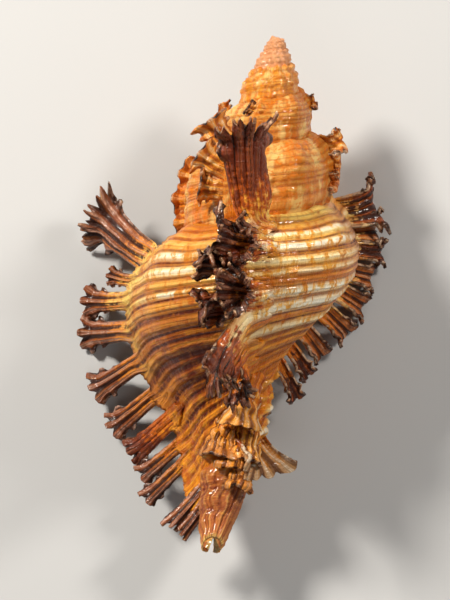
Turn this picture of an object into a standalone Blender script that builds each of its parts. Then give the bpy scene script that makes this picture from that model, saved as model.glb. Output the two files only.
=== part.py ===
"""A murex shell, lying on its aperture side with the apex towards +Y and its back up.

The shell is grown the way the animal grows it. The outline of the lip is turned about the coiling axis and
enlarged at every step, each stop in growth leaves a flared rib, and every rib carries hollow fronds, one on each
spiral cord. All of it is one piece of shell, so it is fused into one solid, and the aperture is cut from that.
"""

import math

import bmesh
import bpy
from mathutils import Matrix, Quaternion, Vector

MM = 0.001

# Coil. Turns are in degrees of growth, 0 at the outer lip and negative for what grew before it.
WHORL_GROWTH = 1.6
VIRTUAL_APEX = -2.0
LIP_AZIMUTH = -108.0
FIRST_TURN = -6 * 360
TURN_STEP = 6
APEX_RADIUS = 1.0

# Outline of the lip as (distance from the axis, depth below the apex), in mm, from the suture to the neck.
OUTER_OUTLINE = (
    (11.9, 31.2),
    (14.6, 33.0),
    (17.0, 36.0),
    (18.4, 40.0),
    (17.9, 44.0),
    (15.3, 48.4),
    (11.7, 52.4),
    (8.2, 56.2),
    (5.8, 60.4),
)
# The rest of the outline lies inside the whorls that grew before.
HIDDEN_OUTLINE = ((2.5, 63.0), (0.5, 59.0), (0.5, 38.0), (5.5, 33.0))
OUTLINE_SAMPLES = 9

# Ribs and nodes, as turns, with the rib's height at the lip.
RIB_TURNS = (0, -100, -220, -345, -436, -556, -706, -805, -925, -1045)
RIB_HEIGHT = 1.9
RIB_BASE_EXTRA = 0.8
RIB_RISE = 9.0
RIB_DROP = 2.6
NODE_HEIGHT = 0.9
NODE_WIDTH = 11.0
CORD_DEPTHS = (35.2, 37.8, 40.8, 44.9, 49.0, 53.0, 57.0, 60.8)
CORD_HEIGHT = 0.5
CORD_WIDTH = 0.75

# Siphonal canal, in mm below the apex, bent to the left and up at its end.
CANAL_PROFILE = ((24, 2.2), (40, 4.2), (50, 4.4), (58, 4.2), (66, 4.0), (71, 3.1), (75, 2.2))
BEND_START = 42.0
BEND_LENGTH = 33.0
BEND_LEFT = 3.7
BEND_UP = 7.0
CANAL_BORE = 1.25
CANAL_SLOT = 1.2

# Fronds of the last three ribs, newest first: cord depth, length, width, tilt to the canal, lean forwards,
# flare of the tip and twist of the gutter.
FRONDS = (
    (
        (35.0, 14.6, 4.6, -36, 18, 1.6, 0),
        (37.8, 5.6, 2.2, -8, 22, 1.2, 0),
        (40.6, 9.4, 2.8, 4, 22, 1.3, 0),
        (44.8, 10.8, 3.2, 8, 24, 1.3, 0),
        (48.6, 11.6, 3.0, 34, 22, 1.2, 0),
        (52.6, 12.6, 3.0, 42, 20, 1.2, 0),
        (56.4, 11.2, 2.8, 46, 14, 1.2, 0),
        (60.2, 10.4, 2.6, 48, 8, 1.2, 0),
    ),
    (
        (33.2, 18.0, 4.8, -64, 14, 2.3, 50),
        (36.4, 7.0, 4.0, -10, 34, 1.5, 20),
        (39.0, 7.6, 2.6, 2, 60, 1.6, 20),
        (44.4, 8.6, 5.0, 4, 34, 1.5, 10),
        (48.4, 12.0, 4.4, 52, 26, 1.8, 30),
        (53.4, 8.0, 3.0, 56, 10, 1.4, 20),
        (58.6, 8.0, 3.4, 56, -22, 1.6, 30),
    ),
    (
        (34.4, 8.4, 4.4, -50, -14, 1.6, 0),
        (37.6, 6.5, 3.0, -14, -18, 1.3, 0),
        (41.2, 6.4, 2.6, -2, -20, 1.3, 0),
        (45.4, 6.6, 2.4, 6, -20, 1.3, 0),
        (48.8, 7.6, 2.4, 22, -18, 1.2, 0),
        (52.2, 8.4, 2.4, 36, -16, 1.2, 0),
        (56.2, 7.4, 2.2, 46, -12, 1.2, 0),
        (60.0, 6.8, 2.2, 50, -10, 1.2, 0),
        (63.6, 6.6, 2.2, 54, -6, 1.2, 0),
    ),
)
SPIRE_FRONDS = (
    (34.8, 8.6, 5.4, -42, 16, 1.4, 0),
    (38.6, 5.4, 3.4, -14, 10, 1.3, 0),
    (42.4, 4.6, 3.0, 4, 10, 1.2, 0),
)
SPIRE_RIBS = 7
CANAL_FRONDS = ((64.6, 9.6, 2.6, 51), (69.0, 5.0, 2.2, 54))
OLD_CANALS = ((78, 60.5, 8.0, 4.8), (172, 53.0, 9.0, 4.2))
FROND_THICKNESS = 1.05
FROND_ROOT_TURNS = 15

# Inside of the last whorl, cut back from the lip.
APERTURE_OUTLINE = (
    (12.4, 34.2),
    (15.0, 36.6),
    (16.6, 40.4),
    (16.1, 44.2),
    (13.6, 48.0),
    (10.2, 51.4),
    (7.7, 53.6),
    (6.2, 54.2),
    (5.6, 52.0),
    (6.0, 47.0),
    (7.4, 41.0),
    (9.8, 36.0),
)
APERTURE_TURNS = 165
INNER_LIP_RADIUS = 0.95

# Solid
VOXEL = 0.4
SOLID_TRIANGLES = 8200

# Lie of the shell on a table: roll about its long axis, then pitch, then the place of its apex.
ROLL = 7.1
PITCH = 9.2
APEX_AT = (5.265, 37.761, 17.713)


def growth(turn):
    """Size of the shell at a turn, 1 at the lip."""
    return WHORL_GROWTH ** (turn / 360)


def bent(x, depth, z):
    """A point of the straight shell in mm, moved with the canal's bend, in metres with the apex at the origin."""
    share = max(0.0, (depth - BEND_START) / BEND_LENGTH)
    return Vector((x - BEND_LEFT * share**1.2, -depth, z + BEND_UP * share**3.2)) * MM


def on_coil(turn, radius, depth):
    """Where the lip's outline point (radius, depth) lay when the shell had grown to this turn."""
    azimuth = math.radians(LIP_AZIMUTH - turn)
    size = growth(turn)
    along = VIRTUAL_APEX + size * (depth - VIRTUAL_APEX)
    return bent(size * radius * math.sin(azimuth), along, size * radius * math.cos(azimuth))


def smooth_loop(points, samples):
    """A closed Catmull-Rom curve through the points, as a list of (x, y)."""
    count = len(points)
    curve = []
    for i in range(count):
        a, b, c, d = (Vector(points[(i + k) % count]) for k in (-1, 0, 1, 2))
        for step in range(samples):
            t = step / samples
            curve.append(
                0.5 * (2 * b + (c - a) * t + (2 * a - 5 * b + 4 * c - d) * t**2 + (3 * b - a - 3 * c + d) * t**3)
            )
    return curve


def outward(curve, i):
    """The outline's normal at sample i, pointing away from the shell's inside."""
    before, after = curve[i - 1], curve[(i + 1) % len(curve)]
    run = (after - before).normalized()
    return Vector((run.y, -run.x))


def rib_share(turn):
    """How far a turn stands up in a rib: a slow rise behind it and a steep drop in front."""
    best = 0.0
    for rib in RIB_TURNS:
        away = turn - rib
        best = max(best, math.exp(away / RIB_RISE) if away <= 0 else math.exp(-away / RIB_DROP))
    return best


def node_share(turn):
    """Height of the blunt nodes halfway between two ribs."""
    best = 0.0
    for newer, older in zip(RIB_TURNS, RIB_TURNS[1:]):
        away = (turn - (newer + older) / 2) / NODE_WIDTH
        best = max(best, math.exp(-away * away))
    return best


def relief(turn, depth):
    """Height of the surface over the smooth whorl, in mm at the lip's size."""
    cords = sum(math.exp(-(((depth - cord) / CORD_WIDTH) ** 2)) for cord in CORD_DEPTHS)
    shoulder = math.exp(-(((depth - CORD_DEPTHS[0]) / 4.5) ** 2))
    base = min(1.0, max(0.0, (depth - 46) / 8))
    rib = (RIB_HEIGHT + RIB_BASE_EXTRA * base) * rib_share(turn)
    return CORD_HEIGHT * cords + rib + NODE_HEIGHT * node_share(turn) * (0.35 + shoulder)


def mesh_object(name, shape, collection):
    """A bmesh made into an object of the collection."""
    mesh = bpy.data.meshes.new(name)
    shape.to_mesh(mesh)
    shape.free()
    made = bpy.data.objects.new(name, mesh)
    collection.objects.link(made)
    return made


def sweep(rings):
    """A closed tube through rings of equal length, with both ends capped."""
    shape = bmesh.new()
    loop = [shape.verts.new(point) for point in rings[0]]
    edges = [shape.edges.new((loop[i - 1], loop[i])) for i in range(len(loop))]
    first = list(edges)
    for ring in rings[1:]:
        grown = bmesh.ops.extrude_edge_only(shape, edges=edges)["geom"]
        edges = [item for item in grown if isinstance(item, bmesh.types.BMEdge)]
        corners = [item for item in grown if isinstance(item, bmesh.types.BMVert)]
        for corner, place in zip(corners, ring):
            corner.co = place
    bmesh.ops.holes_fill(shape, edges=first, sides=0)
    bmesh.ops.holes_fill(shape, edges=edges, sides=0)
    bmesh.ops.recalc_face_normals(shape, faces=shape.faces)
    return shape


def build_whorls(collection):
    """The coiled whorls from the apex to the lip."""
    curve = smooth_loop(OUTER_OUTLINE + HIDDEN_OUTLINE, OUTLINE_SAMPLES)
    outer_samples = (len(OUTER_OUTLINE) - 1) * OUTLINE_SAMPLES
    rings = []
    for turn in range(FIRST_TURN, TURN_STEP, TURN_STEP):
        ring = []
        for i, point in enumerate(curve):
            lifted = point
            if i <= outer_samples:
                lifted = point + outward(curve, i) * relief(turn, point.y)
            ring.append(on_coil(turn, lifted.x, lifted.y))
        rings.append(ring)
    return mesh_object("whorls", sweep(rings), collection)


def build_apex(collection):
    """The rounded embryonic shell at the tip."""
    shape = bmesh.new()
    bmesh.ops.create_uvsphere(shape, u_segments=16, v_segments=10, radius=APEX_RADIUS * MM)
    bmesh.ops.translate(shape, verts=shape.verts, vec=(0, -APEX_RADIUS * MM, 0))
    return mesh_object("apex", shape, collection)


def build_canal(collection):
    """The tapering pillar that ends in the siphonal canal."""
    rings = []
    sides = 28
    for (depth, radius), (next_depth, next_radius) in zip(CANAL_PROFILE, CANAL_PROFILE[1:]):
        for step in range(5):
            t = step / 5
            at = depth + (next_depth - depth) * t
            size = radius + (next_radius - radius) * t
            rings.append(canal_ring(at, size, sides))
    rings.append(canal_ring(*CANAL_PROFILE[-1], sides))
    return mesh_object("canal", sweep(rings), collection)


def canal_ring(depth, radius, sides):
    """A circle round the bent axis."""
    angles = [2 * math.pi * i / sides for i in range(sides)]
    return [bent(radius * math.sin(a), depth, radius * math.cos(a)) for a in angles]


def bezier(points, t):
    a, b, c, d = points
    u = 1 - t
    return a * u**3 + b * 3 * u * u * t + c * 3 * u * t * t + d * t**3


def bezier_run(points, t):
    a, b, c, d = points
    u = 1 - t
    return ((b - a) * u * u + (c - b) * 2 * u * t + (d - c) * t * t).normalized()


def frond(name, path, down, width, flare, twist, digits, collection):
    """A hollow gutter along the path, open in front, with a lobed and flared end."""
    shape = bmesh.new()
    bmesh.ops.create_grid(shape, x_segments=18, y_segments=6 * digits, size=1)
    for corner in shape.verts:
        across = corner.co.y
        lobe = 0.5 + 0.5 * math.cos(math.pi * digits * (across + 1) + math.pi)
        along = (corner.co.x + 1) / 2 * (1 - 0.2 * (1 - lobe))
        run = bezier_run(path, along)
        side = (down - run * down.dot(run)).normalized()
        side = Quaternion(run, math.radians(-twist)) @ side
        back = run.cross(side)
        half = width / 2 * MM * (1.1 - 0.5 * along + (flare - 0.6) * along**2)
        hollow = half * (0.5 + 0.3 * along)
        corner.co = bezier(path, along) + side * half * across - back * hollow * across**2
    bmesh.ops.solidify(shape, geom=shape.faces, thickness=FROND_THICKNESS * MM)
    bmesh.ops.recalc_face_normals(shape, faces=shape.faces)
    return mesh_object(name, shape, collection)


def frond_path(turn, depth, length, tilt, lean):
    """From the cord behind a rib, up through the rib's crest and out, in metres."""
    azimuth = math.radians(LIP_AZIMUTH - turn)
    out = Vector((math.sin(azimuth), 0, math.cos(azimuth)))
    forward = Vector((-math.cos(azimuth), 0, math.sin(azimuth)))
    down = Vector((0, -1, 0))
    lean, tilt = math.radians(lean), math.radians(tilt)
    aim = (out * math.cos(lean) + forward * math.sin(lean)) * math.cos(tilt) + down * math.sin(tilt)
    radius = outline_radius(depth)
    start = on_coil(turn - FROND_ROOT_TURNS, radius - 0.1, depth)
    crest = on_coil(turn - 1, radius + 0.7 * RIB_HEIGHT, depth)
    return (start, crest, crest + aim * length * 0.6 * MM, crest + aim * length * MM), down


def outline_radius(depth):
    """Distance of the smooth outline from the axis at a depth, at the lip."""
    for (r0, d0), (r1, d1) in zip(OUTER_OUTLINE, OUTER_OUTLINE[1:]):
        if d0 <= depth <= d1:
            return r0 + (r1 - r0) * (depth - d0) / (d1 - d0)
    return OUTER_OUTLINE[-1][0]


def build_fronds(collection):
    """One frond on each cord of each rib of the last whorl, and short ones up the spire."""
    for number, turn in enumerate(RIB_TURNS[:SPIRE_RIBS]):
        on_spire = number >= len(FRONDS)
        fronds = SPIRE_FRONDS if on_spire else FRONDS[number]
        size = growth(turn) if on_spire else 1.0
        for place, (depth, length, width, tilt, lean, flare, twist) in enumerate(fronds):
            path, down = frond_path(turn, depth, length * size, tilt, lean)
            digits = 3 if width > 4 else 2
            frond(f"frond_{number}_{place}", path, down, width * size, flare, twist, digits, collection)


def build_canal_fronds(collection):
    """Fronds along the left side of the canal."""
    for place, (depth, length, width, tilt) in enumerate(CANAL_FRONDS):
        out = Vector((-1, 0, 0.1)).normalized()
        down = Vector((0, -1, 0))
        tilt = math.radians(tilt)
        aim = out * math.cos(tilt) + down * math.sin(tilt)
        root = bent(-2.2, depth, 0)
        start = bent(-1.5, depth - 3, 1.8)
        path = (start, root, root + aim * length * 0.6 * MM, root + aim * (length + 1.0) * MM)
        frond(f"canal_frond_{place}", path, down, width, 1.2, 0, 2, collection)


def build_old_canals(collection):
    """Ends of earlier canals, left as fans beside the last one."""
    for place, (azimuth, depth, length, width) in enumerate(OLD_CANALS):
        azimuth = math.radians(azimuth)
        out = Vector((math.sin(azimuth), 0, math.cos(azimuth)))
        aim = (out * 0.66 + Vector((0, -1, 0)) * 0.75).normalized()
        forward = Vector((-math.cos(azimuth), 0, math.sin(azimuth)))
        start = bent(1.0 * out.x, depth - 3, 1.0 * out.z)
        path = (start, start + aim * 3 * MM, start + aim * length * 0.7 * MM, start + aim * length * MM)
        frond(f"old_canal_{place}", path, forward, width, 1.6, 0, 2, collection)


def build_inner_lip(collection):
    """The smooth raised lip along the pillar side of the aperture."""
    guide = bpy.data.curves.new("inner_lip", "CURVE")
    guide.dimensions = "3D"
    guide.bevel_depth = INNER_LIP_RADIUS * MM
    guide.bevel_resolution = 3
    guide.use_fill_caps = True
    places = ((12, 11.6, 33.0), (20, 9.0, 35.5), (28, 6.8, 40.0), (30, 5.2, 45.0), (26, 4.4, 50.0), (16, 3.8, 55.0))
    line = guide.splines.new("NURBS")
    line.points.add(len(places) - 1)
    line.use_endpoint_u = True
    for point, (turn, radius, depth) in zip(line.points, places):
        azimuth = math.radians(LIP_AZIMUTH - turn)
        spot = bent(radius * math.sin(azimuth), depth, radius * math.cos(azimuth))
        point.co = (*spot, 1)
    curve = bpy.data.objects.new("inner_lip_curve", guide)
    collection.objects.link(curve)
    bpy.context.view_layer.update()
    graph = bpy.context.evaluated_depsgraph_get()
    mesh = bpy.data.meshes.new_from_object(curve.evaluated_get(graph))
    shape = bmesh.new()
    shape.from_mesh(mesh)
    bmesh.ops.remove_doubles(shape, verts=shape.verts, dist=0.01 * MM)
    bpy.data.objects.remove(curve)
    return mesh_object("inner_lip", shape, collection)


def build_aperture_cutter(collection):
    """The hollow of the last whorl, narrowing as it coils back from the lip."""
    curve = smooth_loop(APERTURE_OUTLINE, 2)
    centre = sum(curve, Vector((0, 0))) / len(curve)
    rings = []
    for step in range(-3, 25):
        turn = -APERTURE_TURNS * step / 24
        closing = math.sqrt(max(0.02, 1 - max(0.0, step / 24) ** 6))
        size = closing * (1 + 0.03 * max(0, -step))
        ring = [centre + (point - centre) * size for point in curve]
        rings.append([on_coil(turn, point.x, point.y) for point in ring])
    return mesh_object("aperture_cutter", sweep(rings), collection)


def build_canal_cutter(collection):
    """The bore that runs from the foot of the aperture down the canal, and the slit that opens it underneath."""
    rings = []
    for step in range(17):
        depth = 51 + 26 * step / 16
        inside = max(0.0, 1 - (depth - 51) / 12) ** 1.4
        bore = CANAL_BORE * (1.25 - 0.25 * step / 16)
        ring = []
        for i in range(14):
            angle = 2 * math.pi * i / 14
            x, z = bore * math.sin(angle), bore * math.cos(angle)
            if i in (6, 7, 8):
                x, z = (i - 7) * -CANAL_SLOT / 2, -9.0
            ring.append(bent(x - 6.4 * inside, depth, z - 1.6 * inside))
        rings.append(ring)
    return mesh_object("canal_cutter", sweep(rings), collection)


def shell_material():
    """Warm amber shell, half matt."""
    material = bpy.data.materials.new("amber_shell")
    material.use_nodes = True
    surface = material.node_tree.nodes["Principled BSDF"]
    surface.inputs["Base Color"].default_value = (0.55, 0.27, 0.07, 1)
    surface.inputs["Roughness"].default_value = 0.45
    surface.inputs["Metallic"].default_value = 0.0
    return material


def biggest_body(shape):
    """Drops every loose scrap but the biggest body of a bmesh."""
    left = set(shape.verts)
    bodies = []
    while left:
        body = [left.pop()]
        for corner in body:
            for edge in corner.link_edges:
                other = edge.other_vert(corner)
                if other in left:
                    left.remove(other)
                    body.append(other)
        bodies.append(body)
    bodies.sort(key=len)
    scraps = [corner for body in bodies[:-1] for corner in body]
    bmesh.ops.delete(shape, geom=scraps, context="VERTS")


def settled(thing):
    """The object's mesh with its modifiers worked in and its loose scraps gone."""
    bpy.context.view_layer.update()
    graph = bpy.context.evaluated_depsgraph_get()
    mesh = bpy.data.meshes.new_from_object(thing.evaluated_get(graph))
    shape = bmesh.new()
    shape.from_mesh(mesh)
    biggest_body(shape)
    shape.to_mesh(mesh)
    shape.free()
    thing.modifiers.clear()
    thing.data = mesh


def fuse(pieces, cutters, collection):
    """Everything grown together into one solid, with the aperture and the canal cut from it."""
    shape = bmesh.new()
    for piece in list(pieces.objects):
        shape.from_mesh(piece.data)
        bpy.data.objects.remove(piece)
    shell = mesh_object("murex_shell", shape, collection)
    skin = shell.modifiers.new("fuse", "REMESH")
    skin.mode = "VOXEL"
    skin.voxel_size = VOXEL * MM
    settled(shell)
    thin = shell.modifiers.new("facets", "DECIMATE")
    thin.ratio = SOLID_TRIANGLES / (2 * len(shell.data.polygons))
    settled(shell)
    for cutter in cutters.objects:
        cutter.hide_render = True
        cutter.display_type = "WIRE"
        cut = shell.modifiers.new(cutter.name, "BOOLEAN")
        cut.operation = "DIFFERENCE"
        cut.solver = "EXACT"
        cut.object = cutter
    shell.data.materials.append(shell_material())
    return shell


def lie_down(objects):
    """Rolls and pitches the shell to the way it lies on a table."""
    turn = Matrix.Rotation(math.radians(PITCH), 4, "X") @ Matrix.Rotation(math.radians(ROLL), 4, "Y")
    for thing in objects:
        thing.data.transform(Matrix.Translation(Vector(APEX_AT) * MM) @ turn)


def new_collection(name, parent):
    made = bpy.data.collections.new(name)
    parent.children.link(made)
    return made


def main():
    for thing in list(bpy.data.objects):
        bpy.data.objects.remove(thing)
    top = new_collection("murex_shell", bpy.context.scene.collection)
    grown = new_collection("grown_pieces", top)
    cutters = new_collection("cutters", bpy.context.scene.collection)
    build_whorls(grown)
    build_apex(grown)
    build_canal(grown)
    build_fronds(grown)
    build_canal_fronds(grown)
    build_old_canals(grown)
    build_inner_lip(grown)
    build_aperture_cutter(cutters)
    build_canal_cutter(cutters)
    shell = fuse(grown, cutters, top)
    lie_down([shell, *cutters.objects])


main()
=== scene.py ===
import math

import bmesh
import bpy
import numpy as np
from mathutils import Matrix, Vector


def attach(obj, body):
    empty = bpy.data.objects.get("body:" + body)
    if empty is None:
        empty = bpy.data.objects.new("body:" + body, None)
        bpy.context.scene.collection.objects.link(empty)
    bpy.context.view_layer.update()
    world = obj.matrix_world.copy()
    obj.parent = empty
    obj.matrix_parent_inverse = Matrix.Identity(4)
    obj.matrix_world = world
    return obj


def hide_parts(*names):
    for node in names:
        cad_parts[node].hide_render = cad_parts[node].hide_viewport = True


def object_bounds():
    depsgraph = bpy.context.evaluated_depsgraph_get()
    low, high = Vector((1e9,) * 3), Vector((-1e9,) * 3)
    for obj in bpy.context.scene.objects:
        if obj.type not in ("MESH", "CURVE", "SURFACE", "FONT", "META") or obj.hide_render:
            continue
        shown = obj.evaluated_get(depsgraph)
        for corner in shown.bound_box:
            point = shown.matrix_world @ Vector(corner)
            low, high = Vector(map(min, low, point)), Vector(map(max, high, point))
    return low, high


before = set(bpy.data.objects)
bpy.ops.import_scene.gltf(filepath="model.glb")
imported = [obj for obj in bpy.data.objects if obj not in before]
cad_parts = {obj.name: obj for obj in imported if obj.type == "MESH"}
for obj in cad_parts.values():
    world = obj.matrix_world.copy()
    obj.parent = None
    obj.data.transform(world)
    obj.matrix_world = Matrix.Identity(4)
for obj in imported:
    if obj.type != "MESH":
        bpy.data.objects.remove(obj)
cadLow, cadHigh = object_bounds()
print("frame loaded", [round(1000 * v, 2) for v in (*cadLow, *cadHigh)])

mm = 0.001
fullWave = 6.28
down = np.array([0.0, -1.0, 0.0])

# a turn is in degrees back from the lip, a level is a depth below the apex in mm at the size of the lip
coil = {
    "growthPerWhorl": 1.6,  # size of each whorl over the one before
    "virtualApex": -2.0,  # depth at which a whorl would have no size
    "lipAzimuth": -108.0,  # degrees round the axis from the middle of the back
    "bendStart": 42.0,  # depth at which the canal starts to bend
    "bendLength": 33.0,
    "bendLeft": 3.7,
    "bendLeftPower": 1.2,
    "bendUp": 7.0,
    "bendUpPower": 3.2,
    "roll": 7.1,
    "pitch": 9.2,
    "apexAt": (5.265, 37.761, 17.713),
}

# the shell is shaped in mm, straight, with its apex at the origin and its axis down -Y
# then it is laid on its lip and fronds
tilted = Matrix.Rotation(math.radians(coil["pitch"]), 4, "X")
tilted = tilted @ Matrix.Rotation(math.radians(coil["roll"]), 4, "Y")
lieDown = Matrix.Translation(Vector(coil["apexAt"]) * mm) @ tilted


def sizeAt(turn):
    return coil["growthPerWhorl"] ** (turn / 360)


def azimuthOf(turn):
    return np.radians(coil["lipAzimuth"] - turn)


def bendShare(depth):
    return np.clip((depth - coil["bendStart"]) / coil["bendLength"], 0, None)


def bend(x, depth, z):
    # the canal bends to the left and up
    share = bendShare(depth)
    left = coil["bendLeft"] * share ** coil["bendLeftPower"]
    up = coil["bendUp"] * share ** coil["bendUpPower"]
    return np.stack([x - left, -depth, z + up], -1)


def onCoil(turn, radius, depth):
    azimuth = azimuthOf(turn)
    size = sizeAt(turn)
    along = coil["virtualApex"] + size * (depth - coil["virtualApex"])
    return bend(size * radius * np.sin(azimuth), along, size * radius * np.cos(azimuth))


def bump(value, middle, width):
    return np.exp(-(((value - middle) / width) ** 2))


def ease(value, low, high):
    share = np.clip((value - low) / (high - low), 0, 1)
    return share * share * (3 - 2 * share)


def unit(vectors):
    return vectors / np.linalg.norm(vectors, axis=-1, keepdims=True)


def waves(turn, level, seed, longWave, wideWave):
    # a smooth random field, repeatable, for slow changes over the shell
    made = np.random.default_rng(seed)
    total = 0
    for _ in range(6):
        a, b, phase = made.uniform(0.5, 1.6), made.uniform(-1.6, 1.6), made.uniform(0, fullWave)
        total = total + np.sin(turn * a / longWave * fullWave + level * b / wideWave * fullWave + phase)
    return total / 6


# outline of the lip as (distance from the axis, depth below the apex), from the suture round to the pillar
lipOutline = np.array([
    (11.9, 31.2), (14.6, 33.0), (17.0, 36.0), (18.4, 40.0), (17.9, 44.0), (15.3, 48.4), (11.7, 52.4),
    (8.2, 56.2), (5.8, 60.4), (4.5, 65.0), (2.6, 69.0), (0.5, 66.0), (0.5, 38.0), (5.5, 33.0),
])
outerSpan = 10  # spans of the outline that show
rampSpan = 13  # the last span climbs the ramp above the suture
levels = {"suture": 31.2, "foot": 69, "ramp": 6.6, "rooted": (31.25, 68.0), "grown": (31.3, 68.0)}


def throughPoints(points, t, closed=True):
    count = len(points)
    i = np.floor(t).astype(int)
    f = (t - i)[..., None]

    def pointAt(step):
        return points[(i + step) % count if closed else np.clip(i + step, 0, count - 1)]

    a, b, c, d = (pointAt(step) for step in (-1, 0, 1, 2))
    return 0.5 * (2 * b + (c - a) * f + (2 * a - 5 * b + 4 * c - d) * f**2 + (3 * b - a - 3 * c + d) * f**3)


def outlineAt(t):
    return throughPoints(lipOutline, t)


def outlineOut(t):
    run = unit(outlineAt(t + 0.03) - outlineAt(t - 0.03))
    return np.stack([run[..., 1], -run[..., 0]], -1)


def levelAt(t):
    # depth at lip size, carried on over the ramp above the suture
    ramp = levels["suture"] - levels["ramp"] * (rampSpan + 1 - t)
    hidden = levels["foot"] + t - outerSpan
    return np.where(t > rampSpan, ramp, np.where(t > outerSpan, hidden, outlineAt(t)[..., 1]))


def spanAtLevel(level):
    steps = np.linspace(0, outerSpan, 400)
    return np.interp(level, outlineAt(steps)[:, 1], steps)


ribs = {
    "turns": (0, -100, -220, -345, -436, -556, -706, -805, -925, -1045),
    "height": 1.9,
    "baseExtra": 0.8,
    "rise": 9.0,
    "drop": 2.6,
    "nodeHeight": 0.9,  # the low knob halfway between two ribs
    "nodeWidth": 11.0,
}

# level, height and half width of the spiral cords, with how pale each is right and left of the middle rib
cords = (
    (33.3, 0.12, 0.32, 0.5, 0.3), (34.9, 0.42, 0.60, 1.0, 0.55), (36.6, 0.48, 0.62, 0.85, 0.7),
    (38.95, 0.50, 0.72, 1.0, 0.95), (40.75, 0.34, 0.50, 0.7, 0.55), (42.3, 0.30, 0.45, 0.15, 0.85),
    (44.1, 0.50, 0.70, 1.0, 0.35), (46.6, 0.46, 0.80, 1.0, 0.2), (48.5, 0.20, 0.26, 0.1, 0.0),
    (50.2, 0.50, 0.75, 0.85, 0.22), (52.1, 0.25, 0.36, 0.2, 0.1), (53.8, 0.50, 0.66, 0.3, 0.25),
    (55.7, 0.25, 0.36, 0.15, 0.05), (57.5, 0.48, 0.62, 0.25, 0.2), (59.2, 0.25, 0.36, 0.1, 0.05),
    (61.0, 0.45, 0.60, 0.2, 0.1), (63.0, 0.35, 0.45, 0.2, 0.1), (64.8, 0.35, 0.45, 0.2, 0.2),
    (66.6, 0.3, 0.45, 0.2, 0.1),
)
# level, half width and darkness right and left of the middle rib of the dark lines between the cords, partly
# their own colour and partly painted shade in the grooves
grooves = (
    (27.4, 0.10, 0.35, 0.2), (28.5, 0.10, 0.45, 0.2), (29.6, 0.10, 0.4, 0.3), (30.7, 0.10, 0.55, 0.3),
    (31.7, 0.10, 0.45, 0.3), (32.5, 0.11, 0.7, 0.4), (33.9, 0.20, 0.75, 0.55), (35.75, 0.20, 0.8, 0.6),
    (37.55, 0.20, 1.0, 0.9), (38.05, 0.14, 0.9, 0.8), (39.95, 0.22, 0.6, 0.7), (41.55, 0.26, 0.75, 0.8),
    (43.1, 0.26, 0.55, 0.9), (45.35, 0.32, 0.65, 1.0), (47.75, 0.22, 1.0, 1.0), (49.1, 0.26, 1.0, 1.0),
    (51.4, 0.50, 0.6, 1.0), (52.8, 0.30, 0.5, 0.9), (55.0, 0.42, 0.6, 1.0), (56.5, 0.34, 0.5, 1.0),
    (58.5, 0.42, 0.5, 1.0), (60.0, 0.34, 0.5, 0.9), (62.0, 0.34, 0.5, 0.9), (63.9, 0.34, 0.5, 0.8),
    (65.7, 0.3, 0.5, 0.7),
)
# levels at which fronds grow from the crest of each rib, and from every older rib
frondLevels = {
    0: (35.0, 37.8, 40.6, 44.8, 48.6, 52.6, 56.4, 60.2),
    -100: (33.2, 36.4, 39.0, 44.4, 48.4, 53.4, 58.6),
    -220: (34.4, 37.6, 41.2, 45.4, 48.8, 52.2, 56.2, 60.0),
    -345: (34.8, 38.6, 42.4, 46.6, 50.2),
}


def frondNear(turn, level):
    # 1 where a frond grows from the rib, 0 halfway between two fronds
    best = 0
    for rib in ribs["turns"]:
        close = np.exp(-np.abs(turn - rib) / 14)
        grown = frondLevels.get(rib, frondLevels[-345])
        best = np.maximum(best, close * sum(bump(level, at, 1.25) for at in grown))
    return np.clip(best, 0, 1)


def ribShare(turn):
    # 1 on the crest of a rib, with a slow rise behind it and a steep drop in front
    best = 0
    for rib in ribs["turns"]:
        away = turn - rib
        rise = np.exp(np.minimum(away, 0) / ribs["rise"])
        drop = np.exp(-np.maximum(away, 0) / ribs["drop"])
        best = np.maximum(best, np.where(away <= 0, rise, drop))
    return best


def nodeShare(turn):
    best = 0
    for newer, older in zip(ribs["turns"], ribs["turns"][1:]):
        best = np.maximum(best, bump(turn, (newer + older) / 2, ribs["nodeWidth"]))
    return best


# heights and spacings in mm, spacings round the whorl in degrees of turn
surface = {
    "threadHeight": 0.085,
    "threadSpacing": 0.66,
    "swellHeight": 0.05,
    "growthLineHeight": 0.035,
    "growthLineTurns": 5.2,
    "olderFill": 4.2,  # how much fuller the older whorls are below their shoulder
    "youngFill": 0.6,
    "youngShoulder": 2.0,
    "beadHeight": 1.9,
    "beadTurns": 27,
    "beadRows": 5.2,
    "knotHeight": 0.40,
    "knotTurns": 11,
    "knotRows": 3.8,
}


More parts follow.
